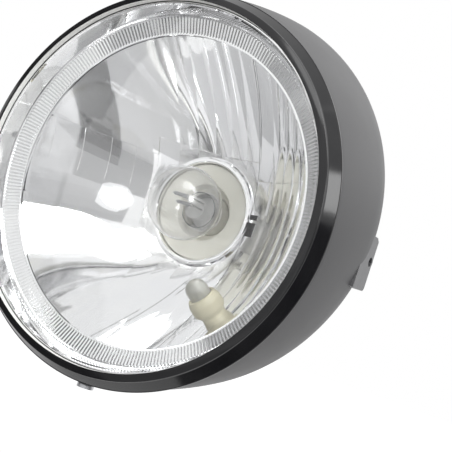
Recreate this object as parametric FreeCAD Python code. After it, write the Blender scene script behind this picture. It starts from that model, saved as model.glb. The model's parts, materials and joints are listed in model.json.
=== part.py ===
import FreeCAD, Part
import math
import os

from FreeCAD import Vector

# Motorcycle headlight, millimetres, +Z up, lens facing -Y.
# Every piece is drawn from the front of the rim's bead, with Y running back along the lens axis.
# The finished pieces are then moved so that the origin lies midway between the two side screw holes.

# Rim: one pressed ring with a round bead beside the lens and a sloping flank outside it
RIM_R = 90.0
OPENING_R = 82.7
RIM_SHEET = 1.2
BEAD_R = 1.7
LIP_TURN = 1.2
CREASE_DEPTH = 0.7
FLANK_DEPTH = 2.2
EDGE_ROUND = 1.6
RIM_BAND = 2.0
TAB_WIDTH = 13.0
TAB_LENGTH = 13.0

# Lens: clear dome that runs down behind the bead, with a flange held under it
LENS_GAP = 0.5
LENS_WALL = 2.5
LENS_FLANGE = 2.0
LENS_EDGE = 2.8
FLANGE_WIDTH = 3.5
FLANGE_SEAT = 2.3
DOME_R = 260.0
GASKET_THICK = 1.2
SEAL_THICK = 0.6

# Reflector: bright shell with a side wall, a ribbed border and a bowl of upright panels
FOCAL = 24.0
SHELL_FLANGE = 1.8
SHELL_WALL = 1.8
WALL_DRAFT = 4.1
BORDER_FRONT = 13.0
BORDER_BACK = 16.5
BORDER_WIDTH = 8.3
BORDER_RIBS = 240
RIB_MARGIN = 0.5
RIB_FLOOR = 0.9
RIB_CREST = 0.15
BOWL_STEP = 0.8
BOWL_WALL = 3.4
PANEL_WIDTH = 9.4
PANEL_SHIFT = -1.0
PANEL_COLUMNS = 16
CENTRE_COLUMNS = 3
SIDE_PANEL_TOP = 20.5
SIDE_PANEL_FOOT = -18.0
CENTRE_PANEL_TOP = 28.5
CENTRE_PANEL_FOOT = -28.5
PANEL_STEP = 0.7
SIDE_CURVE = 19.0
CENTRE_CURVE = 12.0
NECK_R = 24.0
NECK_WALL = 2.2
NECK_LENGTH = 11.0
NECK_LIP = 1.0
SLOT_WIDTH = 5.0
SLOT_HEIGHT = 6.8
SLOT_UPPER_HEIGHT = 2.4
SLOT_BRIDGE = 1.4
SLOT_FOOT = -5.6

# Main bulb: round globe on a two-pin cap
GLOBE_R = 17.6
GLASS_WALL = 0.8
BULB_NECK_R = 9.0
CAP_R = 10.0
CAP_WALL = 0.6
CAP_LENGTH = 16.0
PIN_R = 1.0
PIN_LENGTH = 1.6
PIN_BACK = 10.0
STEM_R = 4.5
STEM_TIP_R = 5.2
LEAD_R = 0.4
FILAMENT_R = 0.8
FILAMENT_HALF = 3.6
DIP_FORWARD = 5.0
DIP_RAISE = 3.0
INSULATOR_THICK = 2.5
CONTACT_R = 1.8
CONTACT_RISE = 1.2
CONTACT_SPREAD = 4.0

# Bulb holder: pale moulded collar in the reflector's neck, with its contact plate and rubber boot
HOLDER_CLEARANCE = 0.2
HOLDER_FACE = 2.6
HOLDER_DISH = 1.5
HOLDER_MOUTH_R = 14.0
HOLDER_LEDGE = 1.0
HOLDER_FLANGE = 2.5
HOLDER_TUBE_R = 15.0
HOLDER_BACK = 6.0
PIN_GROOVE = 3.4
PLATE_THICK = 2.4
PLATE_R = 12.0
BOOT_WALL = 1.8
BOOT_GRIP = 5.0
BOOT_TAIL_R = 17.0
BOOT_HOLE_R = 6.0

# Position lamp: small wedge bulb in a pale holder that stands square on the bowl
LAMP_ANGLE = -47.5
LAMP_RADIUS = 60.9
LAMP_BODY_R = 7.4
LAMP_NOSE_R = 6.3
LAMP_BODY_LENGTH = 11.5
LAMP_NOSE_LENGTH = 3.0
LAMP_CLEARANCE = 0.3
LAMP_BULB_R = 4.9
LAMP_BULB_OUT = 8.0
LAMP_BULB_IN = 9.5
LAMP_BOSS_R = 11.0
LAMP_BOSS_DEPTH = 6.0
LAMP_FLANGE = 2.4
LAMP_TAIL_R = 6.6
LAMP_TAIL = 12.0
LAMP_BLADE = 6.0
LAMP_BLADE_WIDTH = 2.8
LAMP_BLADE_THICK = 0.6

# Bucket: pressed bowl behind the rim, whose sections rise towards the back
BUCKET_SHEET = 1.2
BUCKET_R = 92.0
BUCKET_BELLY = 45.7
BUCKET_DOME = 60.0
BUCKET_RISE = 0.18
BUCKET_FIT = 0.4
BUCKET_STEP = 0.8
BUCKET_STEP_LENGTH = 1.6
TAIL_R = 30.0
INLET_R = 11.0
INLET_BORE_R = 7.5
GROMMET_LIP = 3.0
GROMMET_FLANGE = 2.4

# Side pads: each carries one tapped hole for the fork bracket's screw
PAD_BACK = 58.0
PAD_DROP = 1.1
PAD_ABOVE = 11.2
PAD_BELOW = 13.1
PAD_AHEAD = 11.5
PAD_BEHIND = 2.9
PAD_FACE = 91.3
PAD_CHAMFER = 2.6
PAD_CHAMFER_DROP = 1.5
PAD_CORNER = 2.0
PAD_SPIGOT_R = 3.2
SCREW_HOLE_R = 2.1
SCREW_HOLE_LENGTH = 6.0

# Rim fixing: one screw at the foot, a tongue at the top and bent clips behind the reflector's flange
RIM_SCREW_R = 1.9
RIM_SCREW_HOLE_R = 2.2
RIM_SCREW_HEAD_R = 3.8
RIM_SCREW_HEAD = 2.4
NUT_SIDE = 7.0
NUT_THICK = 3.2
CLIP_SHEET = 0.5
CLIP_WIDTH = 12.0
CLIP_FOOT = 1.3
CLIP_COUNT = 5
TONGUE_WIDTH = 16.0
TONGUE_LENGTH = 9.0

# Shared clearances
SEAT_GAP = 0.1
EDGE_GAP = 0.3
THROUGH = 200.0

FULL_TURN = 360.0
AXIS = Vector(0, 1, 0)
ORIGIN = Vector(0, 0, 0)

# Stations along the lens axis, worked out from the sizes above
LIP_BACK = BEAD_R + LIP_TURN
LENS_FLANGE_FRONT = LIP_BACK + GASKET_THICK
LENS_FLANGE_BACK = LENS_FLANGE_FRONT + LENS_FLANGE
SHELL_FRONT = LENS_FLANGE_BACK + SEAL_THICK
SHELL_FLANGE_BACK = SHELL_FRONT + SHELL_FLANGE
CREASE_R = OPENING_R + 2 * BEAD_R
CREASE_Y = BEAD_R + CREASE_DEPTH
FLANK_BACK = CREASE_Y + FLANK_DEPTH
RIM_DEPTH = FLANK_BACK + EDGE_ROUND + RIM_BAND
LENS_R = OPENING_R - LENS_GAP
UNIT_R = LENS_R + FLANGE_WIDTH
LENS_BORE_R = UNIT_R - FLANGE_SEAT
BORDER_R = LENS_BORE_R - WALL_DRAFT
BOWL_R = BORDER_R - BORDER_WIDTH
BOWL_EDGE = BORDER_BACK + BOWL_STEP
VERTEX = BOWL_EDGE + BOWL_R ** 2 / (4 * FOCAL)
FOCUS = VERTEX - FOCAL
NECK_OUTER_R = NECK_R + NECK_WALL
NECK_FRONT = VERTEX - NECK_OUTER_R ** 2 / (4 * FOCAL) - NECK_LIP
NECK_BACK = NECK_FRONT + NECK_LENGTH
CAP_FRONT = FOCUS + GLOBE_R + INSULATOR_THICK
CAP_BACK = CAP_FRONT + CAP_LENGTH
HOLDER_FRONT = NECK_FRONT + HOLDER_FACE
MOUTH_R = RIM_R - RIM_SHEET - BUCKET_FIT
MOUTH_FRONT = FLANK_BACK + EDGE_ROUND
SCREW_BACK = RIM_DEPTH + TAB_LENGTH / 2


def turned(start, *steps):
    """Solid of revolution about the lens axis from a closed outline of (radius, y) points.

    A step with one point is a straight line, with two points an arc, and with the word
    "curve" in front a parabola whose two end slopes meet at the first point.
    """
    here = Vector(start[0], start[1], 0)
    first = here
    edges = []
    for step in list(steps) + [(start,)]:
        end = Vector(step[-1][0], step[-1][1], 0)
        if step[0] == "curve":
            bend = Part.BezierCurve()
            bend.setPoles([here, Vector(step[1][0], step[1][1], 0), end])
            edges.append(bend.toShape())
        elif len(step) == 2:
            edges.append(Part.Arc(here, Vector(step[0][0], step[0][1], 0), end).toShape())
        elif end.distanceToPoint(here) > 0:
            edges.append(Part.LineSegment(here, end).toShape())
        here = end
    assert here.isEqual(first, 0)
    return Part.Face(Part.Wire(edges)).revolve(ORIGIN, AXIS, FULL_TURN)


def tube(outer, inner, front, back):
    """Plain ring about the lens axis."""
    return rod(outer, front, back).cut(rod(inner, front, back))


def rod(radius, front, back, x=0.0, z=0.0):
    """Cylinder along Y between two stations."""
    return Part.makeCylinder(radius, back - front, Vector(x, front, z), AXIS)


def block(x0, x1, y0, y1, z0, z1):
    return Part.makeBox(x1 - x0, y1 - y0, z1 - z0, Vector(x0, y0, z0))


def strip(outer, inner, front, back, width, angle):
    """Curved strip of the given width, cut from a ring at an angle counted from the top."""
    ring = tube(outer, inner, front, back)
    slab = block(-width / 2, width / 2, front, back, 0, outer)
    return turn_about_axis(ring.common(slab), angle)


def turn_about_axis(shape, angle):
    copy = shape.copy()
    copy.rotate(ORIGIN, AXIS, angle)
    return copy


def leaning(shape):
    """The bucket's sections stay parallel to the rim while their centres rise towards the back."""
    slant = FreeCAD.Matrix()
    slant.A32 = BUCKET_RISE
    slant.A34 = -BUCKET_RISE * MOUTH_FRONT
    return shape.transformGeometry(slant)


def rise_at(y):
    return BUCKET_RISE * (y - MOUTH_FRONT)


def parabola(radius, offset):
    """Station of the bowl's base curve at a radius, pushed back by an offset."""
    return VERTEX + offset - radius ** 2 / (4 * FOCAL)


def parabola_step(from_r, to_r, offset):
    """Outline step along the bowl's base curve between two radii."""
    middle = (from_r + to_r) / 2
    slope = -from_r / (2 * FOCAL)
    bend = parabola(from_r, offset) + slope * (middle - from_r)
    return ("curve", (middle, bend), (to_r, parabola(to_r, offset)))


def rim():
    corner = EDGE_ROUND * math.sqrt(0.5)
    edge_centre_r = RIM_R - EDGE_ROUND
    edge_centre_y = FLANK_BACK + EDGE_ROUND
    lines = [
        Part.LineSegment(Vector(OPENING_R, LIP_BACK, 0), Vector(OPENING_R, BEAD_R, 0)),
        Part.Arc(
            Vector(OPENING_R, BEAD_R, 0),
            Vector(OPENING_R + BEAD_R, 0, 0),
            Vector(CREASE_R, BEAD_R, 0),
        ),
        Part.LineSegment(Vector(CREASE_R, BEAD_R, 0), Vector(CREASE_R, CREASE_Y, 0)),
        Part.LineSegment(Vector(CREASE_R, CREASE_Y, 0), Vector(edge_centre_r, FLANK_BACK, 0)),
        Part.Arc(
            Vector(edge_centre_r, FLANK_BACK, 0),
            Vector(edge_centre_r + corner, edge_centre_y - corner, 0),
            Vector(RIM_R, edge_centre_y, 0),
        ),
        Part.LineSegment(Vector(RIM_R, edge_centre_y, 0), Vector(RIM_R, RIM_DEPTH, 0)),
    ]
    outside = Part.Wire([line.toShape() for line in lines])
    section = outside.makeOffset2D(-RIM_SHEET, 2, True, True, False)
    ring = section.revolve(ORIGIN, AXIS, FULL_TURN)
    tab = strip(RIM_R, RIM_R - RIM_SHEET, RIM_DEPTH, RIM_DEPTH + TAB_LENGTH, TAB_WIDTH, 180)
    hole = Part.makeCylinder(RIM_SCREW_HOLE_R, RIM_R, Vector(0, SCREW_BACK, 0), Vector(0, 0, -1))
    return ring.fuse(tab).removeSplitter().cut(hole)


def rim_gasket():
    return tube(CREASE_R - RIM_SHEET - SEAT_GAP, OPENING_R, LIP_BACK, LENS_FLANGE_FRONT)


def lens():
    centre = LENS_EDGE + math.sqrt(DOME_R ** 2 - LENS_R ** 2)
    half = math.asin(LENS_R / DOME_R) / 2
    dome_middle = (DOME_R * math.sin(half), centre - DOME_R * math.cos(half))
    inner = DOME_R - LENS_WALL
    corner = (LENS_BORE_R, centre - math.sqrt(inner ** 2 - LENS_BORE_R ** 2))
    inner_half = math.asin(LENS_BORE_R / inner) / 2
    inner_middle = (inner * math.sin(inner_half), centre - inner * math.cos(inner_half))
    return turned(
        (0, centre - DOME_R),
        (dome_middle, (LENS_R, LENS_EDGE)),
        ((LENS_R, LENS_FLANGE_FRONT),),
        ((UNIT_R, LENS_FLANGE_FRONT),),
        ((UNIT_R, LENS_FLANGE_BACK),),
        ((LENS_BORE_R, LENS_FLANGE_BACK),),
        (corner,),
        (inner_middle, (0, centre - inner)),
    )


def lens_seal():
    return tube(UNIT_R, LENS_BORE_R, LENS_FLANGE_BACK, SHELL_FRONT)


def border(radius):
    """Station of the ribbed border's cone at a radius."""
    return BORDER_BACK + (BOWL_R - radius) * (BORDER_BACK - BORDER_FRONT) / BORDER_WIDTH


def rib_cutter():
    """Air in front of the ribbed border: a ring whose floor rises and falls once for every rib."""
    inner = BOWL_R + RIB_MARGIN + BOWL_STEP
    outer = BORDER_R - RIB_MARGIN
    top = BORDER_FRONT - RIB_FLOOR
    points = []
    for index in range(2 * BORDER_RIBS):
        turn = math.pi * index / BORDER_RIBS
        depth = RIB_FLOOR if index % 2 else RIB_CREST
        radial = Vector(math.cos(turn), 0, math.sin(turn))
        points.append(
            [radial * inner + AXIS * (border(inner) + depth), radial * outer + AXIS * (border(outer) + depth),
             radial * outer + AXIS * top, radial * inner + AXIS * top]
        )
    faces = []
    for here, after in zip(points, points[1:] + points[:1]):
        for first, second in ((1, 2), (2, 3), (3, 0)):
            faces.append(polygon(here[first], after[first], after[second], here[second]))
        faces.append(polygon(here[0], after[0], after[1]))
        faces.append(polygon(here[0], after[1], here[1]))
    return Part.Solid(Part.Shell(faces))


def polygon(*corners):
    return Part.Face(Part.makePolygon(list(corners) + [corners[0]]))


def panel_solid(curve):
    """Filled bowl whose curve across X is set by a focal length of its own."""
    widest = BORDER_R + BORDER_WIDTH
    bowl = turned(
        (0, parabola(widest, 0)),
        ((widest, parabola(widest, 0)),),
        parabola_step(widest, 0, 0),
    )
    across = FreeCAD.Matrix()
    across.A11 = math.sqrt(curve / FOCAL)
    return bowl.transformGeometry(across)


def panel_cutters():
    """Air inside the bowl, one block for each upright panel, touching the base curve at its middle."""
    cutters = []
    bowls = {curve: panel_solid(curve) for curve in (SIDE_CURVE, CENTRE_CURVE)}
    front = parabola(BORDER_R, 0)
    for column in range(PANEL_COLUMNS):
        left = PANEL_SHIFT + (column - PANEL_COLUMNS / 2) * PANEL_WIDTH
        middle = left + PANEL_WIDTH / 2
        central = abs(column - PANEL_COLUMNS / 2 + 0.5) < CENTRE_COLUMNS
        top = CENTRE_PANEL_TOP if central else SIDE_PANEL_TOP
        foot = CENTRE_PANEL_FOOT if central else SIDE_PANEL_FOOT
        rows = [
            (-BORDER_R, foot, SIDE_CURVE, 0.0),
            (foot, top, SIDE_CURVE, PANEL_STEP),
            (top, BORDER_R, CENTRE_CURVE if central else SIDE_CURVE, 0.0),
        ]
        for low, high, curve, step in rows:
            share = curve / FOCAL
            air = bowls[curve].copy()
            air.translate(Vector(middle * (1 - share), step - middle ** 2 * (1 - share) / (4 * FOCAL), 0))
            cell = block(left, left + PANEL_WIDTH, front, VERTEX + NECK_LENGTH, low, high)
            cutters.append(cell.common(air))
    return cutters


def lamp_place():
    """Frame of the position lamp: origin on the bowl, local Y pointing back along its own axis."""
    turn = math.radians(LAMP_ANGLE)
    radial = Vector(math.cos(turn), 0, math.sin(turn))
    slope = math.atan(LAMP_RADIUS / (2 * FOCAL))
    back = radial * math.sin(slope) + AXIS * math.cos(slope)
    foot = radial * LAMP_RADIUS + AXIS * parabola(LAMP_RADIUS, 0)
    return FreeCAD.Placement(foot, FreeCAD.Rotation(AXIS, back))


def on_lamp(shape):
    copy = shape.copy()
    copy.Placement = lamp_place().multiply(copy.Placement)
    return copy


def reflector():
    wall_back = BORDER_BACK + SHELL_WALL
    back_r = math.sqrt(4 * FOCAL * (VERTEX + BOWL_WALL - wall_back))
    wall_r = LENS_BORE_R - WALL_DRAFT * SHELL_FLANGE / (BORDER_FRONT - SHELL_FRONT)
    neck_meet = parabola(NECK_OUTER_R, BOWL_WALL)
    blank = turned(
        (0, BORDER_BACK),
        ((BOWL_R, BORDER_BACK),),
        ((BORDER_R, BORDER_FRONT),),
        ((LENS_BORE_R, SHELL_FRONT),),
        ((UNIT_R, SHELL_FRONT),),
        ((UNIT_R, SHELL_FLANGE_BACK),),
        ((wall_r + SHELL_WALL, SHELL_FLANGE_BACK),),
        ((BORDER_R + SHELL_WALL, BORDER_FRONT),),
        ((back_r, wall_back),),
        parabola_step(back_r, NECK_OUTER_R, BOWL_WALL),
        ((0, neck_meet),),
    )
    boss = on_lamp(rod(LAMP_BOSS_R, 0, LAMP_BOSS_DEPTH))
    shell = blank.fuse(boss).cut(panel_cutters())
    shell = shell.cut(rib_cutter())
    shell = shell.fuse(rod(NECK_OUTER_R, NECK_FRONT, NECK_BACK))
    side = NECK_OUTER_R + EDGE_GAP
    upper = SLOT_FOOT + SLOT_HEIGHT + SLOT_BRIDGE
    openings = [
        rod(NECK_R, 0, THROUGH),
        on_lamp(rod(LAMP_BODY_R + LAMP_CLEARANCE, -LAMP_BODY_LENGTH, LAMP_BOSS_DEPTH)),
        block(side, side + SLOT_WIDTH, NECK_FRONT - NECK_LENGTH, NECK_BACK,
              SLOT_FOOT, SLOT_FOOT + SLOT_HEIGHT),
        block(side, side + SLOT_WIDTH, NECK_FRONT - NECK_LENGTH, NECK_BACK,
              upper, upper + SLOT_UPPER_HEIGHT),
    ]
    return shell.cut(openings)


def bulb_glass():
    """Blown globe and neck, open at the back where the stem is sealed in."""
    inner = GLOBE_R - GLASS_WALL
    neck_inner = BULB_NECK_R - GLASS_WALL
    outer_meet = FOCUS + math.sqrt(GLOBE_R ** 2 - BULB_NECK_R ** 2)
    inner_meet = FOCUS + math.sqrt(inner ** 2 - neck_inner ** 2)
    back = CAP_FRONT + CAP_LENGTH / 4
    return turned(
        (0, FOCUS - GLOBE_R),
        ((GLOBE_R, FOCUS), (BULB_NECK_R, outer_meet)),
        ((BULB_NECK_R, back),),
        ((neck_inner, back),),
        ((neck_inner, inner_meet),),
        ((inner, FOCUS), (0, FOCUS - inner)),
    )


def bulb_cap():
    shell = tube(CAP_R, CAP_R - CAP_WALL, CAP_FRONT, CAP_BACK)
    pins = Part.makeCylinder(
        PIN_R, 2 * (CAP_R + PIN_LENGTH), Vector(-CAP_R - PIN_LENGTH, CAP_FRONT + PIN_BACK, 0), Vector(1, 0, 0)
    )
    return shell.fuse(pins.cut(rod(CAP_R - CAP_WALL, CAP_FRONT, CAP_BACK)))


def stem_front():
    return FOCUS + GLOBE_R / 2 + FILAMENT_HALF / 2


def bulb_stem():
    """Pressed glass foot that carries the leads, flared to the neck's wall at its back."""
    back = CAP_FRONT + CAP_LENGTH / 4
    return turned(
        (0, stem_front()),
        ((STEM_TIP_R, stem_front()),),
        ((STEM_TIP_R, stem_front() + STEM_R / 2),),
        ((STEM_R, stem_front() + STEM_R),),
        ((STEM_R, back - STEM_R),),
        ((BULB_NECK_R - GLASS_WALL - SEAT_GAP, back),),
        ((0, back),),
    )


def filament_places():
    return [(FOCUS, 0.0), (FOCUS - DIP_FORWARD, DIP_RAISE)]


def bulb_leads():
    leads = []
    for front, height in filament_places():
        for side in (-1, 1):
            x = side * (FILAMENT_HALF + LEAD_R)
            leads.append(rod(LEAD_R, front - FILAMENT_R, stem_front(), x, height))
    return Part.makeCompound(leads)


def filament(place):
    front, height = place
    return Part.makeCylinder(
        FILAMENT_R, 2 * FILAMENT_HALF, Vector(-FILAMENT_HALF, front, height), Vector(1, 0, 0)
    )


def bulb_insulator():
    return rod(CAP_R - CAP_WALL, CAP_BACK - INSULATOR_THICK, CAP_BACK)


def bulb_contacts():
    places = [-CONTACT_SPREAD, CONTACT_SPREAD]
    return Part.makeCompound([rod(CONTACT_R, CAP_BACK, CAP_BACK + CONTACT_RISE, x) for x in places])


def bulb_holder():
    """Collar with a dished face, a well round the cap, a groove for its pins and a flange behind the neck."""
    outer = NECK_R - HOLDER_CLEARANCE
    bore = CAP_R + HOLDER_CLEARANCE
    groove = CAP_R + PIN_LENGTH + HOLDER_CLEARANCE
    dish = HOLDER_FRONT + HOLDER_DISH
    pin_y = CAP_FRONT + PIN_BACK
    well = pin_y - PIN_GROOVE / 2 - HOLDER_LEDGE
    back = CAP_BACK + CONTACT_RISE + PLATE_THICK + HOLDER_BACK
    plate_front = CAP_BACK + CONTACT_RISE
    plate_seat = PLATE_R + HOLDER_CLEARANCE
    return turned(
        (HOLDER_MOUTH_R, dish),
        ((outer, HOLDER_FRONT),),
        ((outer, NECK_BACK),),
        ((NECK_OUTER_R, NECK_BACK),),
        ((NECK_OUTER_R, NECK_BACK + HOLDER_FLANGE),),
        ((HOLDER_TUBE_R, NECK_BACK + HOLDER_FLANGE),),
        ((HOLDER_TUBE_R, back),),
        ((plate_seat, back),),
        ((plate_seat, plate_front),),
        ((bore, plate_front),),
        ((bore, pin_y + PIN_GROOVE / 2),),
        ((groove, pin_y + PIN_GROOVE / 2),),
        ((groove, pin_y - PIN_GROOVE / 2),),
        ((bore, pin_y - PIN_GROOVE / 2),),
        ((bore, well),),
        ((HOLDER_MOUTH_R, well),),
    )


def contact_plate():
    front = CAP_BACK + CONTACT_RISE
    disc = rod(PLATE_R, front, front + PLATE_THICK)
    holes = [rod(CONTACT_R, front, front + PLATE_THICK, x) for x in (-CONTACT_SPREAD, CONTACT_SPREAD)]
    return disc.cut(holes)


def holder_contacts():
    front = CAP_BACK + CONTACT_RISE
    back = front + PLATE_THICK + HOLDER_BACK / 2
    return Part.makeCompound([rod(CONTACT_R, front, back, x) for x in (-CONTACT_SPREAD, CONTACT_SPREAD)])


def dust_boot():
    """Rubber boot that grips the neck and closes round the leads behind the holder."""
    grip = NECK_OUTER_R + SEAT_GAP
    front = NECK_BACK - BOOT_GRIP
    waist = NECK_BACK + HOLDER_FLANGE + SEAT_GAP
    back = CAP_BACK + CONTACT_RISE + PLATE_THICK + HOLDER_BACK + BOOT_WALL
    return turned(
        (grip, front),
        ((grip + BOOT_WALL, front),),
        ((grip + BOOT_WALL, waist + BOOT_WALL),),
        ((BOOT_TAIL_R + BOOT_WALL, back),),
        ((BOOT_TAIL_R, back + BOOT_WALL),),
        ((BOOT_HOLE_R, back + BOOT_WALL),),
        ((BOOT_HOLE_R, back),),
        ((BOOT_TAIL_R, back),),
        ((grip, waist),),
    )


def lamp_holder():
    """Pale holder: tapered nose in the bowl, body through the wall, flange and tail behind it."""
    socket = LAMP_BULB_R + LAMP_CLEARANCE
    nose = LAMP_NOSE_LENGTH - LAMP_BODY_LENGTH
    tail = LAMP_BOSS_DEPTH + LAMP_FLANGE + LAMP_TAIL
    return on_lamp(turned(
        (socket, -LAMP_BODY_LENGTH),
        ((LAMP_NOSE_R, -LAMP_BODY_LENGTH),),
        ((LAMP_BODY_R, nose),),
        ((LAMP_BODY_R, LAMP_BOSS_DEPTH),),
        ((LAMP_BOSS_R, LAMP_BOSS_DEPTH),),
        ((LAMP_BOSS_R, LAMP_BOSS_DEPTH + LAMP_FLANGE),),
        ((LAMP_TAIL_R, LAMP_BOSS_DEPTH + LAMP_FLANGE),),
        ((LAMP_TAIL_R, tail),),
        ((0, tail),),
        ((0, LAMP_BULB_IN - LAMP_BODY_LENGTH),),
        ((socket, LAMP_BULB_IN - LAMP_BODY_LENGTH),),
    ))


def lamp_glass():
    """Wedge bulb's envelope, round at the tip and closed by its pinch at the back."""
    tip = -LAMP_BODY_LENGTH - LAMP_BULB_OUT
    inner = LAMP_BULB_R - GLASS_WALL
    centre = tip + LAMP_BULB_R
    half = math.sqrt(0.5)
    back = LAMP_BULB_IN - LAMP_BODY_LENGTH
    pinch = back - LAMP_BULB_R
    return on_lamp(turned(
        (0, tip),
        ((LAMP_BULB_R * half, centre - LAMP_BULB_R * half), (LAMP_BULB_R, centre)),
        ((LAMP_BULB_R, back),),
        ((0, back),),
        ((0, pinch),),
        ((inner, pinch),),
        ((inner, centre),),
        ((inner * half, centre - inner * half), (0, tip + GLASS_WALL)),
    ))


def lamp_leads():
    pinch = LAMP_BULB_IN - LAMP_BODY_LENGTH - LAMP_BULB_R
    front = -LAMP_BODY_LENGTH - LAMP_BULB_OUT / 4
    spread = LAMP_BULB_R / 2
    return Part.makeCompound([on_lamp(rod(LEAD_R, front, pinch, x)) for x in (-spread, spread)])


def lamp_filament():
    front = -LAMP_BODY_LENGTH - LAMP_BULB_OUT / 4
    reach = LAMP_BULB_R / 2 - LEAD_R
    coil = Part.makeCylinder(LEAD_R, 2 * reach, Vector(-reach, front + LEAD_R, 0), Vector(1, 0, 0))
    return on_lamp(coil)


def lamp_contacts():
    back = LAMP_BOSS_DEPTH + LAMP_FLANGE + LAMP_TAIL
    blades = []
    for side in (-1, 1):
        x = side * LAMP_TAIL_R / 2
        blade = block(x - LAMP_BLADE_THICK / 2, x + LAMP_BLADE_THICK / 2, back, back + LAMP_BLADE,
                      -LAMP_BLADE_WIDTH / 2, LAMP_BLADE_WIDTH / 2)
        blades.append(on_lamp(blade))
    return Part.makeCompound(blades)


def tail_y(offset):
    """Station of the flat at the bucket's tail, for its outside or pulled in by an offset."""
    share = TAIL_R / BUCKET_R
    return BUCKET_BELLY + BUCKET_DOME * math.sqrt(1 - share ** 2) - offset


def bucket_form(offset):
    """Filled bowl with the bucket's outline, its wall pulled in by an offset."""
    belly = BUCKET_R - offset
    mouth = MOUTH_R - offset
    stepped = mouth + BUCKET_STEP
    straight = RIM_DEPTH + EDGE_GAP
    shoulder = straight + BUCKET_STEP_LENGTH
    half_y = (shoulder + BUCKET_BELLY) / 2
    half_r = belly - (belly - stepped) * ((BUCKET_BELLY - half_y) / (BUCKET_BELLY - shoulder)) ** 2
    dome = BUCKET_DOME - offset
    tail = tail_y(offset)
    tail_r = belly * math.sqrt(1 - ((tail - BUCKET_BELLY) / dome) ** 2)
    ellipse = Part.Ellipse(
        Vector(belly, BUCKET_BELLY, 0), Vector(0, BUCKET_BELLY + dome, 0), Vector(0, BUCKET_BELLY, 0)
    )
    start = ellipse.parameter(Vector(belly, BUCKET_BELLY, 0))
    end = ellipse.parameter(Vector(tail_r, tail, 0))
    corners = [(mouth, MOUTH_FRONT), (mouth, straight), (stepped, shoulder)]
    points = [Vector(r, y, 0) for r, y in corners]
    edges = [
        Part.LineSegment(Vector(0, MOUTH_FRONT, 0), points[0]),
        Part.LineSegment(points[0], points[1]),
        Part.LineSegment(points[1], points[2]),
        Part.Arc(points[2], Vector(half_r, half_y, 0), Vector(belly, BUCKET_BELLY, 0)),
        Part.ArcOfEllipse(ellipse, start, end),
        Part.LineSegment(Vector(tail_r, tail, 0), Vector(0, tail, 0)),
        Part.LineSegment(Vector(0, tail, 0), Vector(0, MOUTH_FRONT, 0)),
    ]
    outline = Part.Wire([edge.toShape() for edge in edges])
    return leaning(Part.Face(outline).revolve(ORIGIN, AXIS, FULL_TURN))


def pad_spigot(side, radius):
    start = Vector(side * PAD_FACE, PAD_BACK, -PAD_DROP)
    return Part.makeCylinder(radius, SCREW_HOLE_LENGTH, start, Vector(-side, 0, 0))


def bucket():
    shell = bucket_form(0).cut(bucket_form(BUCKET_SHEET))
    inlet = rod(INLET_R, BUCKET_BELLY, THROUGH, 0, rise_at(tail_y(0)))
    screw = Part.makeCylinder(RIM_SCREW_HOLE_R, RIM_R, Vector(0, SCREW_BACK, 0), Vector(0, 0, -1))
    spigots = [pad_spigot(side, PAD_SPIGOT_R + SEAT_GAP) for side in (-1, 1)]
    return shell.cut([inlet, screw] + spigots)


def side_pad(side):
    """Pad that grows out of the bucket's side, with a spigot through its wall and a tapped hole along both."""
    front = PAD_BACK - PAD_AHEAD
    rear = PAD_BACK + PAD_BEHIND
    top = PAD_ABOVE - PAD_DROP
    foot = -PAD_DROP - PAD_BELOW
    outline = [
        (front, foot), (rear, foot), (rear, top - PAD_CHAMFER_DROP), (rear - PAD_CHAMFER, top), (front, top),
    ]
    section = polygon(*[Vector(side * BUCKET_R / 2, y, z) for y, z in outline])
    plate = section.extrude(Vector(side * (PAD_FACE - BUCKET_R / 2), 0, 0))
    corner = [
        edge for edge in plate.Edges
        if all(abs(end.Y - rear) + abs(end.Z - foot) < SEAT_GAP for end in edge.Vertexes)
    ]
    plate = plate.makeFillet(PAD_CORNER, corner)
    plate = plate.cut(bucket_form(0))
    plate = plate.fuse(pad_spigot(side, PAD_SPIGOT_R))
    return plate.cut(pad_spigot(side, SCREW_HOLE_R))


def cable_grommet():
    """Rubber grommet clipped into the tail's hole, open for the loom."""
    outer_face = tail_y(0)
    inner_face = tail_y(BUCKET_SHEET)
    waist = INLET_R - SEAT_GAP
    ring = turned(
        (INLET_BORE_R, inner_face - GROMMET_FLANGE),
        ((INLET_R + GROMMET_LIP, inner_face - GROMMET_FLANGE),),
        ((INLET_R + GROMMET_LIP, inner_face),),
        ((waist, inner_face),),
        ((waist, outer_face),),
        ((INLET_R + GROMMET_LIP, outer_face),),
        ((INLET_R + GROMMET_LIP / 2, outer_face + GROMMET_FLANGE),),
        ((INLET_BORE_R, outer_face + GROMMET_FLANGE),),
    )
    ring.translate(Vector(0, 0, rise_at(tail_y(0))))
    return ring


def rim_screw():
    """Pan head screw that draws the rim's tab to the bucket's foot."""
    down = Vector(0, 0, -1)
    head_top = Vector(0, SCREW_BACK, -RIM_R)
    head = Part.makeCylinder(RIM_SCREW_HEAD_R, RIM_SCREW_HEAD, head_top, down)
    head = head.makeFillet(RIM_SCREW_HEAD / 2, [head.Edges[2]])
    nut_top = nut_foot() + NUT_THICK
    shank = Part.makeCylinder(RIM_SCREW_R, RIM_R + nut_top, Vector(0, SCREW_BACK, nut_top), down)
    return head.fuse(shank)


def nut_foot():
    """Height of the square nut's lower face, just clear of the bucket's inside."""
    straight = RIM_DEPTH + EDGE_GAP + BUCKET_STEP_LENGTH
    share = (BUCKET_BELLY - SCREW_BACK) / (BUCKET_BELLY - straight)
    stepped = MOUTH_R + BUCKET_STEP
    radius = BUCKET_R - (BUCKET_R - stepped) * share ** 2 - BUCKET_SHEET
    return rise_at(SCREW_BACK) - math.sqrt(radius ** 2 - (NUT_SIDE / 2) ** 2) + NUT_SIDE * BUCKET_RISE


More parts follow.
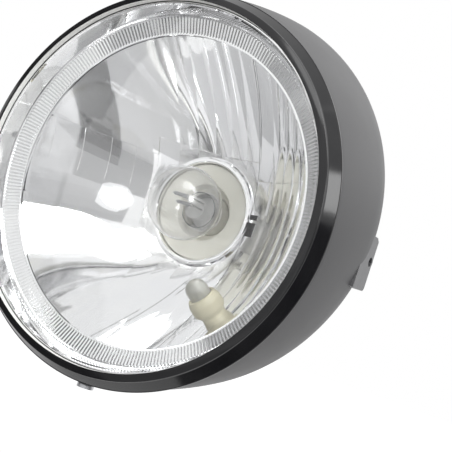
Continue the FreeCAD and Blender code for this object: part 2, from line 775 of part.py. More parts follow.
def rim_screw_nut():
    half = NUT_SIDE / 2
    foot = nut_foot()
    nut = block(-half, half, SCREW_BACK - half, SCREW_BACK + half, foot, foot + NUT_THICK)
    hole = Part.makeCylinder(RIM_SCREW_R, NUT_THICK, Vector(0, SCREW_BACK, foot), Vector(0, 0, 1))
    return nut.cut(hole)


def rim_inside(radius):
    """Station of the flank's inner face at a radius."""
    run = RIM_R - EDGE_ROUND - CREASE_R
    length = math.hypot(run, FLANK_DEPTH)
    inner_r = CREASE_R - RIM_SHEET * FLANK_DEPTH / length
    inner_y = CREASE_Y + RIM_SHEET * run / length
    return inner_y + (radius - inner_r) * FLANK_DEPTH / run


def retaining_clips():
    """Bent clips welded inside the rim, whose feet hold the reflector's flange from behind."""
    inner = UNIT_R + EDGE_GAP
    outer = inner + CLIP_SHEET
    front = rim_inside(outer) + SEAT_GAP
    back = SHELL_FLANGE_BACK + CLIP_SHEET
    clips = []
    for index in range(CLIP_COUNT):
        angle = FULL_TURN * (index + 0.5) / CLIP_COUNT
        leg = strip(outer, inner, front, back, CLIP_WIDTH, angle)
        foot = strip(outer, UNIT_R - CLIP_FOOT, SHELL_FLANGE_BACK, back, CLIP_WIDTH, angle)
        clips.append(leg.fuse(foot).removeSplitter())
    return Part.makeCompound(clips)


def rim_tongue():
    """Tongue at the top of the rim that tucks inside the bucket's mouth."""
    outer = MOUTH_R - BUCKET_SHEET - SEAT_GAP
    inner = outer - CLIP_SHEET
    front = rim_inside(outer) + SEAT_GAP
    return strip(outer, inner, front, front + TONGUE_LENGTH, TONGUE_WIDTH, 0)


main_place, dip_place = filament_places()
pieces = {
    "rim": rim(),
    "rim_gasket": rim_gasket(),
    "rim_tongue": rim_tongue(),
    "rim_screw": rim_screw(),
    "rim_screw_nut": rim_screw_nut(),
    "retaining_clips": retaining_clips(),
    "lens": lens(),
    "lens_seal": lens_seal(),
    "reflector": reflector(),
    "main_bulb_glass": bulb_glass(),
    "main_bulb_cap": bulb_cap(),
    "main_bulb_stem": bulb_stem(),
    "main_bulb_leads": bulb_leads(),
    "driving_filament": filament(main_place),
    "dipped_filament": filament(dip_place),
    "main_bulb_insulator": bulb_insulator(),
    "main_bulb_contacts": bulb_contacts(),
    "bulb_holder": bulb_holder(),
    "contact_plate": contact_plate(),
    "holder_contacts": holder_contacts(),
    "dust_boot": dust_boot(),
    "position_bulb_glass": lamp_glass(),
    "position_bulb_leads": lamp_leads(),
    "position_bulb_filament": lamp_filament(),
    "position_bulb_holder": lamp_holder(),
    "position_holder_contacts": lamp_contacts(),
    "bucket": bucket(),
    "left_pad": side_pad(-1),
    "right_pad": side_pad(1),
    "cable_grommet": cable_grommet(),
}

os.makedirs("parts", exist_ok=True)
for name, shape in pieces.items():
    placed = shape.copy()
    placed.translate(Vector(0, -PAD_BACK, PAD_DROP))
    placed.exportStep("parts/" + name + ".step")
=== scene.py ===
import json
import math

import bmesh
import bpy
import numpy as np
from mathutils import Matrix, Vector


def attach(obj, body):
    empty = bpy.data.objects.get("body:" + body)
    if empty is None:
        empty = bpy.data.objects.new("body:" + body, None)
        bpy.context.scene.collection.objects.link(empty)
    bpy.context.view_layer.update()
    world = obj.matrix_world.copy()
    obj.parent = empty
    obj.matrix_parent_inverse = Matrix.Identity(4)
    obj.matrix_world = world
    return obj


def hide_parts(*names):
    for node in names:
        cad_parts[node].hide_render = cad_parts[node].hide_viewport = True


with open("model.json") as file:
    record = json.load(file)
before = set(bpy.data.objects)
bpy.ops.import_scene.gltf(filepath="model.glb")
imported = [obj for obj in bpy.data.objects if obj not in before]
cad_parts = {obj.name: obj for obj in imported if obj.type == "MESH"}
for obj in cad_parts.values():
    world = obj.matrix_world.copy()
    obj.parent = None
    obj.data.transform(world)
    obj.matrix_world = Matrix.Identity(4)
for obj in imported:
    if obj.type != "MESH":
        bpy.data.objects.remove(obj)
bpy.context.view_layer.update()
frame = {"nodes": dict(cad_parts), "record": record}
nodes = frame["nodes"]

# The pieces are drawn in millimetres from the front of the rim's bead, as the part's source draws them.
# This moves them to the row's frame, with its origin between the side screw holes.
SHIFT = np.array([0.0, -58.0, 1.1])
MM = 0.001

# Sizes that several pieces share: R is a radius about the lens axis, and y runs from front to back
FOCAL = 24.0
BOWL_R = 71.0
BOWL_EDGE_Y = 17.3
BORDER_R = 79.3
BORDER_FRONT = 13.0
BORDER_BACK = 16.5
UNIT_R = 85.7
VERTEX = BOWL_EDGE_Y + BOWL_R ** 2 / (4 * FOCAL)
FOCUS = VERTEX - FOCAL
NECK_R = 24.0
NECK_OUTER_R = 26.2
NECK_FRONT = VERTEX - NECK_OUTER_R ** 2 / (4 * FOCAL) - 1.0
NECK_BACK = NECK_FRONT + 11.0
GLOBE_R = 17.6


# Mesh helpers

ON_AXIS = 1e-6


def add_object(name, mesh_data, slot, replaced, smooth=40.0):
    """A piece that rides the body in place of CAD nodes, with edges over the smooth angle left sharp."""
    verts, faces = mesh_data
    mesh = bpy.data.meshes.new(name)
    points = (np.asarray(verts, dtype=float) + SHIFT) * MM
    mesh.from_pydata(points.tolist(), [], faces)
    mesh.validate()
    shell = bmesh.new()
    shell.from_mesh(mesh)
    bmesh.ops.recalc_face_normals(shell, faces=shell.faces)
    shell.to_mesh(mesh)
    shell.free()
    mesh.polygons.foreach_set("use_smooth", [True] * len(mesh.polygons))
    mesh.set_sharp_from_angle(angle=math.radians(smooth))
    mesh.update()
    piece = bpy.data.objects.new(name, mesh)
    bpy.context.scene.collection.objects.link(piece)
    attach(piece, "root")
    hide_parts(*replaced)
    mesh.materials.append(SLOT_LOOK[slot])
    return piece


def revolve_mesh(profile, count, closed=True):
    """Rings of a (radius, y) profile about the lens axis."""
    verts = []
    faces = []
    starts = []
    for radius, y in profile:
        starts.append(len(verts))
        if radius < ON_AXIS:
            verts.append((0.0, y, 0.0))
            continue
        for k in range(count):
            turn = 2 * math.pi * k / count
            verts.append((radius * math.cos(turn), y, radius * math.sin(turn)))
    total = len(profile)
    for i in range(total if closed else total - 1):
        j = (i + 1) % total
        a_pole = profile[i][0] < ON_AXIS
        b_pole = profile[j][0] < ON_AXIS
        if a_pole and b_pole:
            continue
        for k in range(count):
            n = (k + 1) % count
            if a_pole:
                faces.append((starts[i], starts[j] + n, starts[j] + k))
            elif b_pole:
                faces.append((starts[i] + k, starts[i] + n, starts[j]))
            else:
                faces.append((starts[i] + k, starts[i] + n, starts[j] + n, starts[j] + k))
    return verts, faces


def rounded(points, steps):
    """Closed outline from (radius, y, corner radius) points, with each corner rounded by its own radius."""
    out = []
    total = len(points)
    for i in range(total):
        here = np.array(points[i][:2], dtype=float)
        radius = points[i][2]
        if radius <= 0:
            out.append(tuple(here))
            continue
        before = np.array(points[i - 1][:2], dtype=float) - here
        after = np.array(points[(i + 1) % total][:2], dtype=float) - here
        len_b = np.linalg.norm(before)
        len_a = np.linalg.norm(after)
        before /= len_b
        after /= len_a
        half = math.acos(max(-1.0, min(1.0, float(before @ after)))) / 2
        reach = min(radius / math.tan(half), len_b * 0.49, len_a * 0.49)
        real = reach * math.tan(half)
        middle = (before + after) / np.linalg.norm(before + after)
        centre = here + middle * real / math.sin(half)
        first = here + before * reach - centre
        last = here + after * reach - centre
        angle = math.pi - 2 * half
        for s in range(steps + 1):
            t = s / steps
            mix = (math.sin((1 - t) * angle) * first + math.sin(t * angle) * last) / math.sin(angle)
            out.append(tuple(centre + mix))
    return out


def arc(centre, radius, start, end, steps):
    """Points on a circle in the (radius, y) plane, by angle in degrees from the +radius direction towards +y."""
    points = []
    for s in range(steps + 1):
        turn = math.radians(start + (end - start) * s / steps)
        points.append((centre[0] + radius * math.cos(turn), centre[1] + radius * math.sin(turn)))
    return points


def merge(*meshes):
    verts = []
    faces = []
    for part_verts, part_faces in meshes:
        base = len(verts)
        verts.extend(part_verts)
        faces.extend(tuple(base + i for i in face) for face in part_faces)
    return verts, faces


# Materials

NOISE_ROUGHNESS = 0.55
BROAD_DETAIL = 4.0
FINE_DETAIL = 2.0
GLASS_NOISE_SCALE = 40.0
GLASS_COAT_IOR = 1.8
GLASS_COAT_ROUGHNESS = 0.2


def material(name):
    mat = bpy.data.materials.new(name)
    mat.use_nodes = True
    tree = mat.node_tree
    shader = tree.nodes["Principled BSDF"]
    return mat, tree, shader


def noise(tree, scale, detail):
    coords = tree.nodes.new("ShaderNodeTexCoord")
    node = tree.nodes.new("ShaderNodeTexNoise")
    node.inputs["Scale"].default_value = scale
    node.inputs["Detail"].default_value = detail
    node.inputs["Roughness"].default_value = NOISE_ROUGHNESS
    tree.links.new(coords.outputs["Object"], node.inputs["Vector"])
    return node.outputs["Fac"]


def map_range(tree, source, before, after):
    """A number moved from one range to another, and held at its ends."""
    node = tree.nodes.new("ShaderNodeMapRange")
    node.inputs["From Min"].default_value = before[0]
    node.inputs["From Max"].default_value = before[1]
    node.inputs["To Min"].default_value = after[0]
    node.inputs["To Max"].default_value = after[1]
    tree.links.new(source, node.inputs["Value"])
    return node.outputs["Result"]


def spread(tree, source, limits):
    """A number from a noise's value, between two limits."""
    return map_range(tree, source, (0.3, 0.7), limits)


def tint(tree, source, first, second):
    """A colour between two, by a noise's value."""
    ramp = tree.nodes.new("ShaderNodeValToRGB")
    ramp.color_ramp.elements[0].position = 0.32
    ramp.color_ramp.elements[1].position = 0.68
    ramp.color_ramp.elements[0].color = (*first, 1.0)
    ramp.color_ramp.elements[1].color = (*second, 1.0)
    tree.links.new(source, ramp.inputs["Fac"])
    return ramp.outputs["Color"]


def bump(tree, shader, source, strength, distance):
    node = tree.nodes.new("ShaderNodeBump")
    node.inputs["Strength"].default_value = strength
    node.inputs["Distance"].default_value = distance
    tree.links.new(source, node.inputs["Height"])
    tree.links.new(node.outputs["Normal"], shader.inputs["Normal"])


def surface(name, first, second, scale, rough, metallic=0.0, grain=None):
    """Noise-driven colour and roughness, with an optional fine bump as (scale, strength, distance)."""
    mat, tree, shader = material(name)
    field = noise(tree, scale, BROAD_DETAIL)
    tree.links.new(tint(tree, field, first, second), shader.inputs["Base Color"])
    tree.links.new(spread(tree, field, rough), shader.inputs["Roughness"])
    shader.inputs["Metallic"].default_value = metallic
    if grain:
        bump(tree, shader, noise(tree, grain[0], FINE_DETAIL), grain[1], grain[2])
    return mat


def clear(name, colour, ior, rough, coat=0.0, clarity=1.0):
    """Glass that lets lamps through, so that what is behind it is lit."""
    mat, tree, shader = material(name)
    shader.inputs["Coat Weight"].default_value = coat
    shader.inputs["Coat IOR"].default_value = GLASS_COAT_IOR
    shader.inputs["Coat Roughness"].default_value = GLASS_COAT_ROUGHNESS
    shader.inputs["Base Color"].default_value = (*colour, 1.0)
    shader.inputs["Transmission Weight"].default_value = clarity
    shader.inputs["IOR"].default_value = ior
    field = noise(tree, GLASS_NOISE_SCALE, BROAD_DETAIL)
    tree.links.new(spread(tree, field, rough), shader.inputs["Roughness"])
    path = tree.nodes.new("ShaderNodeLightPath")
    through = tree.nodes.new("ShaderNodeBsdfTransparent")
    mixer = tree.nodes.new("ShaderNodeMixShader")
    tree.links.new(path.outputs["Is Shadow Ray"], mixer.inputs["Fac"])
    tree.links.new(shader.outputs["BSDF"], mixer.inputs[1])
    tree.links.new(through.outputs["BSDF"], mixer.inputs[2])
    tree.links.new(mixer.outputs["Shader"], tree.nodes["Material Output"].inputs["Surface"])
    return mat


SLOT_LOOK = {
    "gloss_black": surface("gloss_black", (0.004, 0.004, 0.005), (0.007, 0.007, 0.008), 60.0, (0.10, 0.16),
                           grain=(420.0, 0.02, 0.0004)),
    "satin_black": surface("satin_black", (0.050, 0.050, 0.052), (0.058, 0.058, 0.060), 35.0, (0.42, 0.5),
                           grain=(1600.0, 0.12, 0.0002)),
    "plated_steel": surface("plated_steel", (0.50, 0.51, 0.53), (0.62, 0.62, 0.63), 120.0, (0.3, 0.45),
                            metallic=1.0, grain=(900.0, 0.1, 0.0002)),
    "bright_reflector": surface("bright_reflector", (0.94, 0.94, 0.95), (0.97, 0.97, 0.97), 30.0, (0.03, 0.06),
                                metallic=1.0),
    "cap_metal": surface("cap_metal", (0.84, 0.83, 0.80), (0.90, 0.89, 0.87), 150.0, (0.45, 0.58), metallic=0.8),
    "lead_wire": surface("lead_wire", (0.42, 0.42, 0.42), (0.55, 0.55, 0.54), 400.0, (0.25, 0.4), metallic=1.0),
    "filament_wire": surface("filament_wire", (0.2, 0.2, 0.21), (0.34, 0.34, 0.35), 600.0, (0.35, 0.5),
                             metallic=1.0),
    "contact_brass": surface("contact_brass", (0.56, 0.44, 0.2), (0.68, 0.56, 0.3), 200.0, (0.25, 0.4),
                             metallic=1.0),
    "pale_moulding": surface("pale_moulding", (0.53, 0.50, 0.37), (0.58, 0.55, 0.42), 90.0, (0.38, 0.52),
                             grain=(700.0, 0.08, 0.0003)),
    "white_moulding": surface("white_moulding", (0.80, 0.79, 0.70), (0.85, 0.84, 0.76), 90.0, (0.34, 0.46),
                              grain=(700.0, 0.06, 0.0003)),
    "pad_metal": surface("pad_metal", (0.22, 0.22, 0.225), (0.27, 0.27, 0.275), 150.0, (0.4, 0.55),
                         metallic=1.0, grain=(900.0, 0.12, 0.0002)),
    "dark_insulator": surface("dark_insulator", (0.02, 0.019, 0.018), (0.04, 0.036, 0.033), 150.0, (0.2, 0.32)),
    "seal_rubber": surface("seal_rubber", (0.012, 0.012, 0.012), (0.022, 0.022, 0.022), 200.0, (0.6, 0.75),
                           grain=(1200.0, 0.2, 0.0003)),
    "boot_rubber": surface("boot_rubber", (0.016, 0.016, 0.017), (0.03, 0.03, 0.031), 140.0, (0.5, 0.66),
                           grain=(900.0, 0.25, 0.0003)),
    "clear_lens": clear("clear_lens", (0.985, 0.99, 0.99), 1.49, (0.0, 0.012)),
    "bulb_glass": clear("bulb_glass", (0.985, 0.985, 0.98), 1.12, (0.0, 0.01), coat=1.0),
}
# Painted light: a pale grey for the rim lip's inner face, which stands in for a lit face where the gloss black would
# look dark
LIP_FACE_PAINTED_LIGHT = surface("lip_face_painted_light", (0.70, 0.70, 0.68), (0.78, 0.78, 0.76), 120.0, (0.4, 0.5))
FROSTED = clear("frosted_stem", (0.9, 0.9, 0.885), 1.15, (0.3, 0.42), clarity=0.7)
MILKY = clear("milky_bulb", (0.78, 0.78, 0.74), 1.15, (0.3, 0.42), clarity=0.8)

for entry in frame["record"]["subparts"]:
    node_mesh = nodes[entry["node"]].data
    node_mesh.materials.clear()
    node_mesh.materials.append(SLOT_LOOK[entry["material_slot"]])
nodes["main_bulb_stem"].data.materials[0] = FROSTED


# Reflector: upright panels, ribbed border, side wall and neck ring

PANEL_WIDTH = 9.4
PANEL_SHIFT = -1.0
COLUMNS = 16
CENTRAL_COLUMNS = 6
CENTRAL_TOP = 28.5
CENTRAL_FOOT = -28.5
CENTRAL_CURVE = 19.0
HEAD_CURVE = 12.0
SIDE_TOP = 20.5
SIDE_FOOT = -18.0
SIDE_CURVE = 27.0
FAR_RIGHT_X = 36.0
FAR_RIGHT_CURVE = 10.0
ROW_STEP = 0.7
PAST_EDGE = 80.0
GROOVE = 0.09
GROOVE_DEPTH = 0.068
GRID_X = 0.8
GRID_Z = 1.2
SKIRT = 1.6

SLOT_X = (26.5, 31.5)
SLOT_Z = ((-5.6, 1.2), (2.6, 5.0))
SLOT_COLUMN_EDGE = 27.2
SLOT_COLUMN_MIDDLES = (22.5, 31.9)
SLOT_DEPTH = 3.2
SLOT_CLEAR_X = (25.8, 32.2)
SLOT_CLEAR_Z = (-6.4, 5.8)

RIBS = 300
RIB_POINTS = 6
RIB_LIFT = 0.08
WALL_FRONT = 3.2
WALL_FRONT_R = 81.9
FLANGE_INNER_R = 82.3
FLANGE_FRONT = 6.7
FLANGE_BACK = 8.5
BACK_GAP = 3.4
BACK_R = 72.0


def panel_y(x, z, middle, curve, step):
    """Depth of a panel that touches the base parabola at its middle and has its own curve across."""
    share = curve / FOCAL
    across = x - middle * (1 - share)
    return (VERTEX - across ** 2 / (4 * curve) - z ** 2 / (4 * FOCAL)
            + step - middle ** 2 * (1 - share) / (4 * FOCAL))


def in_slot(x0, x1, z0, z1):
    xm = (x0 + x1) / 2
    zm = (z0 + z1) / 2
    return SLOT_X[0] < xm < SLOT_X[1] and any(low < zm < high for low, high in SLOT_Z)


def panel_patch(x0, x1, low, high, middle, curve, step, grooved):
    """Grid on one panel, its ends following the bowl's edge or the neck where they cut it.

    The sides named in grooved (left, right, low, high) fall away in a narrow slope. A skirt runs back from all sides.
    """
    nearest = 0.0 if low < 0 < high else min(abs(low), abs(high))
    if nearest >= BOWL_R:
        return [], []
    limit = math.sqrt(BOWL_R ** 2 - nearest ** 2)
    x0 = max(x0, -limit)
    x1 = min(x1, limit)
    if x1 - x0 < 4 * GROOVE:
        return [], []
    across = max(2, int(math.ceil((x1 - x0) / GRID_X)))
    xs = np.concatenate([[x0], np.linspace(x0 + GROOVE, x1 - GROOVE, across + 1), [x1]])
    edge = np.sqrt(np.maximum(BOWL_R ** 2 - xs ** 2, 0))
    neck = np.sqrt(np.maximum(NECK_OUTER_R ** 2 - xs ** 2, 0))
    bottom = np.maximum(low, -edge)
    top = np.minimum(high, edge)
    if low >= 0:
        bottom = np.maximum(bottom, neck)
    if high <= 0:
        top = np.minimum(top, -neck)
    top = np.maximum(top, bottom)
    if np.max(top - bottom) < 4 * GROOVE:
        return [], []
    along = max(2, int(math.ceil(np.max(top - bottom) / GRID_Z)))
    verts = []
    faces = []
    last_x = len(xs) - 1
    last_z = along + 2
    for i, x in enumerate(xs):
        height = top[i] - bottom[i]
        slope = min(GROOVE, height / 4)
        for k in range(last_z + 1):
            if k == 0:
                z = bottom[i]
            elif k == last_z:
                z = top[i]
            else:
                z = bottom[i] + slope + (height - 2 * slope) * (k - 1) / along
            dip = ((i == 0 and "left" in grooved) or (i == last_x and "right" in grooved)
                   or (k == 0 and "low" in grooved) or (k == last_z and "high" in grooved))
            verts.append((x, panel_y(x, z, middle, curve, step) + (GROOVE_DEPTH if dip else 0.0), z))
    row = last_z + 1
    for i in range(last_x):
        for k in range(last_z):
            a = i * row + k
            faces.append((a, a + row, a + row + 1, a + 1))
    loop = [i * row for i in range(last_x + 1)]
    loop += [last_x * row + k for k in range(1, row)]
    loop += [i * row + last_z for i in range(last_x - 1, -1, -1)]
    loop += [k for k in range(last_z - 1, 0, -1)]
    base = len(verts)
    for index in loop:
        x, y, z = verts[index]
        verts.append((x, y, z))
        verts.append((x, y + SKIRT, z))
    total = len(loop)
    for i in range(total):
        j = (i + 1) % total
        faces.append((base + 2 * i, base + 2 * i + 1, base + 2 * j + 1, base + 2 * j))
    return verts, faces


def column_rows(column, middle):
    """Foot and top lines of a column of panels, and its rows as (low, high, curve, step)."""
    foot, top = SIDE_FOOT, SIDE_TOP
    curve = head_curve = FAR_RIGHT_CURVE if middle > FAR_RIGHT_X else SIDE_CURVE
    if abs(column - COLUMNS / 2 + 0.5) < CENTRAL_COLUMNS / 2:
        foot, top = CENTRAL_FOOT, CENTRAL_TOP
        curve, head_curve = CENTRAL_CURVE, HEAD_CURVE
    rows = [(-PAST_EDGE, foot, curve, 0.0), (foot, 0.0, curve, ROW_STEP), (0.0, top, curve, ROW_STEP),
            (top, PAST_EDGE, head_curve, 0.0)]
    return foot, top, rows


def bowl_panels():
    parts = []
    for column in range(COLUMNS):
        left = PANEL_SHIFT + (column - COLUMNS / 2) * PANEL_WIDTH
        right = left + PANEL_WIDTH
        middle = (left + right) / 2
        foot, top, rows = column_rows(column, middle)
        row_lines = (foot, top) if middle > 0 else (top,)
        inner_cuts = [x for x in (-NECK_OUTER_R, NECK_OUTER_R, *SLOT_X) if left < x < right]
        cuts = sorted({left, right, *inner_cuts})
        for low, high, curve, step in rows:
            for x0, x1 in zip(cuts, cuts[1:]):
                levels = [low, high]
                if x0 >= SLOT_X[0] and x1 <= SLOT_X[1]:
                    levels += [z for pair in SLOT_Z for z in pair if low < z < high]
                levels.sort()
                for z0, z1 in zip(levels, levels[1:]):
                    if in_slot(x0, x1, z0, z1):
                        continue
                    upright = 0 <= z0 < top
                    sides = {"left": upright and x0 == left, "right": upright and x1 == right,
                             "low": z0 in row_lines, "high": z1 in row_lines}
                    grooved = [side for side, there in sides.items() if there]
                    parts.append(panel_patch(x0, x1, z0, z1, middle, curve, step, grooved))
    return merge(*parts)


def border_ring(radius, back, wave):
    """One ring on the sloping border, moved back a little: its radius, its y and its share of the ribs."""
    y = BORDER_BACK + (BOWL_R - radius) * (BORDER_BACK - BORDER_FRONT) / (BORDER_R - BOWL_R)
    return radius, y + back, wave


def ribbed_border():
    """Sloping border with radial ribs, its inner step, and the smooth wall and flange out to the unit's edge."""
    around = RIBS * RIB_POINTS
    rings = [
        (BOWL_R, BOWL_EDGE_Y + 1.0, 0.0),
        (BOWL_R, BORDER_BACK + 0.1, 0.0),
        border_ring(BOWL_R + 0.3, -0.15, 0.0),
        border_ring(BOWL_R + 0.8, 0.0, 0.0),
        border_ring(BOWL_R + 1.2, 0.1, 1.0),
        border_ring(BORDER_R - 1.0, 0.1, 1.0),
        border_ring(BORDER_R - 0.6, 0.0, 0.0),
        border_ring(BORDER_R - 0.2, -0.1, 0.0),
        (BORDER_R + 0.2, BORDER_FRONT - 0.5, 0.0),
        (WALL_FRONT_R, WALL_FRONT, 0.0),
        (FLANGE_INNER_R, WALL_FRONT, 0.0),
        (FLANGE_INNER_R, FLANGE_FRONT, 0.0),
        (UNIT_R, FLANGE_FRONT, 0.0),
    ]
    verts = []
    faces = []
    for radius, y, wave in rings:
        for k in range(around):
            turn = 2 * math.pi * k / around
            depth = y + wave * RIB_LIFT * (1 - math.cos(2 * math.pi * k / RIB_POINTS))
            verts.append((radius * math.cos(turn), depth, radius * math.sin(turn)))
    for i in range(len(rings) - 1):
        for k in range(around):
            n = (k + 1) % around
            faces.append((i * around + k, i * around + n, (i + 1) * around + n, (i + 1) * around + k))
    return verts, faces


def slot_walls():
    parts = []
    x0, x1 = SLOT_X
    for z0, z1 in SLOT_Z:
        verts = []
        for x, z in [(x0, z0), (x1, z0), (x1, z1), (x0, z1)]:
            middle = SLOT_COLUMN_MIDDLES[0] if x < SLOT_COLUMN_EDGE else SLOT_COLUMN_MIDDLES[1]
            y = panel_y(x, z, middle, SIDE_CURVE, ROW_STEP)
            verts += [(x, y, z), (x, y + SLOT_DEPTH, z)]
        faces = [(2 * i, 2 * i + 1, 2 * ((i + 1) % 4) + 1, 2 * ((i + 1) % 4)) for i in range(4)]
        parts.append((verts, faces))
    return merge(*parts)


def bowl_back():
    """Shell behind the bowl, left open behind the slots so that they look dark."""
    profile = [(r, VERTEX + BACK_GAP - r ** 2 / (4 * FOCAL)) for r in np.linspace(NECK_OUTER_R, BACK_R, 48)]
    profile += [(BACK_R + 0.6, 18.3), (BORDER_R + 1.8, BORDER_FRONT), (84.0, FLANGE_BACK), (UNIT_R, FLANGE_BACK),
                (UNIT_R, FLANGE_FRONT)]
    verts, faces = revolve_mesh(profile, 256, closed=False)
    kept = []
    for face in faces:
        middle = np.mean([verts[i] for i in face], axis=0)
        across = SLOT_CLEAR_X[0] < middle[0] < SLOT_CLEAR_X[1]
        upright = SLOT_CLEAR_Z[0] < middle[2] < SLOT_CLEAR_Z[1]
        if not (across and upright):
            kept.append(face)
    return verts, kept


neck_ring = rounded([
    (NECK_OUTER_R, VERTEX, 0), (NECK_OUTER_R, NECK_FRONT, 0.8), (NECK_R, NECK_FRONT, 0.8), (NECK_R, NECK_BACK, 0),
    (NECK_OUTER_R, NECK_BACK, 0),
], 6)
reflector_mesh = merge(bowl_panels(), ribbed_border(), slot_walls(), revolve_mesh(neck_ring, 192), bowl_back())
add_object("reflector_bowl", reflector_mesh, "bright_reflector", ["reflector"], smooth=9.0)


# Lens: clear dome that ends just inside the rim's lip, and its flange

DOME_R = 260.0
LENS_R = 82.2
LENS_EDGE_Y = 2.8
LENS_WALL = 2.5
CLEAR_R = 81.4
LENS_FLANGE_R = LENS_R + 0.3
LENS_FLANGE_FRONT = 4.1
LENS_FLANGE_BACK = 6.1
dome_centre = LENS_EDGE_Y + math.sqrt(DOME_R ** 2 - LENS_R ** 2)
dome_inner_r = DOME_R - LENS_WALL
dome = [(DOME_R * math.sin(t), dome_centre - DOME_R * math.cos(t))
        for t in np.linspace(0, math.asin(CLEAR_R / DOME_R), 48)]
dome += [(dome_inner_r * math.sin(t), dome_centre - dome_inner_r * math.cos(t))
         for t in np.linspace(math.asin((CLEAR_R - 0.8) / dome_inner_r), 0, 48)]
lens_flange = [(LENS_FLANGE_R, LENS_FLANGE_FRONT), (UNIT_R - 0.2, LENS_FLANGE_FRONT), (UNIT_R, LENS_FLANGE_FRONT + 0.2),
               (UNIT_R, LENS_FLANGE_BACK), (LENS_FLANGE_R, LENS_FLANGE_BACK)]
lens_mesh = merge(revolve_mesh(dome, 256), revolve_mesh(lens_flange, 256))
add_object("lens_dome", lens_mesh, "clear_lens", ["lens"], smooth=35.0)


# Rim: pressed ring with bead, crease, sloping flank and rolled edge, and the tab for its screw

LIP_R = 82.7
RIM_R = 90.0
RIM_INNER_R = 88.8
RIM_BACK = 8.2
TAB_HALF_WIDTH = 6.5
TAB_FRONT = 8.1
TAB_BACK = 21.2
SCREW_HOLE_R = 2.2
SCREW_Y = 14.7


def curved_tab(half_width, front, back, outer, inner, hole, hole_y):
    """Curved strip under the rim with a round hole, as a ring of quads round the hole on each face."""
    verts = []
    faces = []
    ring = 32
    for radius in (outer, inner):
        for at_hole in (True, False):
            for k in range(ring):
                turn = 2 * math.pi * (k + 0.5) / ring
                c = math.cos(turn)
                s = math.sin(turn)
                room = (back - hole_y) if s > 0 else (hole_y - front)
                grow = hole if at_hole else min(half_width / abs(c), room / abs(s))
                x = grow * c
                verts.append((x, hole_y + grow * s, -math.sqrt(radius ** 2 - x ** 2)))
    for k in range(ring):
        n = (k + 1) % ring
        o_hole, o_edge, i_hole, i_edge = k, ring + k, 2 * ring + k, 3 * ring + k
        o_hole_n, o_edge_n, i_hole_n, i_edge_n = n, ring + n, 2 * ring + n, 3 * ring + n
        faces.append((o_hole, o_hole_n, o_edge_n, o_edge))
        faces.append((i_hole, i_edge, i_edge_n, i_hole_n))
        faces.append((o_edge, o_edge_n, i_edge_n, i_edge))
        faces.append((o_hole, i_hole, i_hole_n, o_hole_n))
    return verts, faces


rim_profile = [(LIP_R, 2.9), (LIP_R, 0.3), (82.78, 0.08), (82.95, 0.0), (83.1, 0.03), (85.85, 1.03), (86.02, 1.15),
               (86.1, 1.4), (86.1, 2.1), (86.3, 2.4), (89.72, 7.5)]
rim_profile += arc((RIM_R - 0.5, 7.7), 0.5, -25.0, 0.0, 3)
rim_profile += [(RIM_R, RIM_BACK), (RIM_INNER_R, RIM_BACK), (88.6, 7.4), (85.2, 2.9), (85.0, 2.2), (84.9, 1.9),
                (83.9, 2.6), (83.9, 2.9)]
rim_tab = curved_tab(TAB_HALF_WIDTH, TAB_FRONT, TAB_BACK, RIM_R, RIM_INNER_R, SCREW_HOLE_R, SCREW_Y)
rim = add_object("rim_ring", merge(revolve_mesh(rim_profile, 320), rim_tab), "gloss_black", ["rim"], smooth=50.0)

# The lip's inner face, beside the lens, is painted pale grey in place of the rim's gloss black: painted light, so that
# the dark line there renders light grey
rim.data.materials.append(LIP_FACE_PAINTED_LIGHT)
for face in rim.data.polygons:
    if math.hypot(face.center.x / MM - SHIFT[0], face.center.z / MM - SHIFT[2]) < LIP_R + 0.05:
        face.material_index = 1


# Bucket: pressed bowl whose sections rise towards the back

MOUTH_R = 88.4
MOUTH_FRONT = 6.2
SHOULDER_R = 89.2
SHOULDER_Y = 10.1
BELLY_R = 92.0
BELLY_Y = 45.7
BELLY_SWELL = 2.8
BUCKET_DEPTH = 60.0
BUCKET_WALL = 1.2
TAIL_R = 30.0
TAIL_HOLE_R = 12.0
RISE = 0.18


def bucket_line(offset):
    """The bucket's outline from mouth to tail, moved inwards by an offset."""
    points = [(MOUTH_R - offset, MOUTH_FRONT), (MOUTH_R - offset, 8.5), (SHOULDER_R - offset, SHOULDER_Y)]
    for t in np.linspace(0, 1, 24)[1:]:
        y = SHOULDER_Y + (BELLY_Y - SHOULDER_Y) * t
        points.append((BELLY_R - offset - BELLY_SWELL * (1 - t) ** 2, y))
    depth = BUCKET_DEPTH - offset
    belly = BELLY_R - offset
    tail_y = BELLY_Y + BUCKET_DEPTH * math.sqrt(1 - (TAIL_R / BELLY_R) ** 2) - offset
    last = math.asin((tail_y - BELLY_Y) / depth)
    for t in np.linspace(0, last, 40)[1:]:
        points.append((belly * math.cos(t), BELLY_Y + depth * math.sin(t)))
    points.append((TAIL_HOLE_R, tail_y))
    return points


bucket_verts, bucket_faces = revolve_mesh(bucket_line(0.0) + bucket_line(BUCKET_WALL)[::-1], 256)
bucket_verts = [(x, y, z + RISE * (y - MOUTH_FRONT)) for x, y, z in bucket_verts]
add_object("bucket_shell", (bucket_verts, bucket_faces), "satin_black", ["bucket"], smooth=50.0)


# Main bulb's globe

GLOBE_INNER_R = 17.1
BULB_NECK_R = 9.0
BULB_NECK_INNER_R = 8.5
BULB_NECK_END = FOCUS + 27.0
meet = math.degrees(math.acos(BULB_NECK_R / GLOBE_R))
inner_meet = math.degrees(math.acos(BULB_NECK_INNER_R / GLOBE_INNER_R))
globe = [(0.0, FOCUS - GLOBE_R)] + arc((0, FOCUS), GLOBE_R, -90.0, meet, 60)[1:]
globe += [(BULB_NECK_R, BULB_NECK_END), (BULB_NECK_INNER_R, BULB_NECK_END)]
globe += arc((0, FOCUS), GLOBE_INNER_R, inner_meet, -90.0, 60)[:-1] + [(0.0, FOCUS - GLOBE_INNER_R)]
add_object("main_bulb_globe", revolve_mesh(globe, 128), "bulb_glass", ["main_bulb_glass"], smooth=35.0)


# Bulb holder's collar

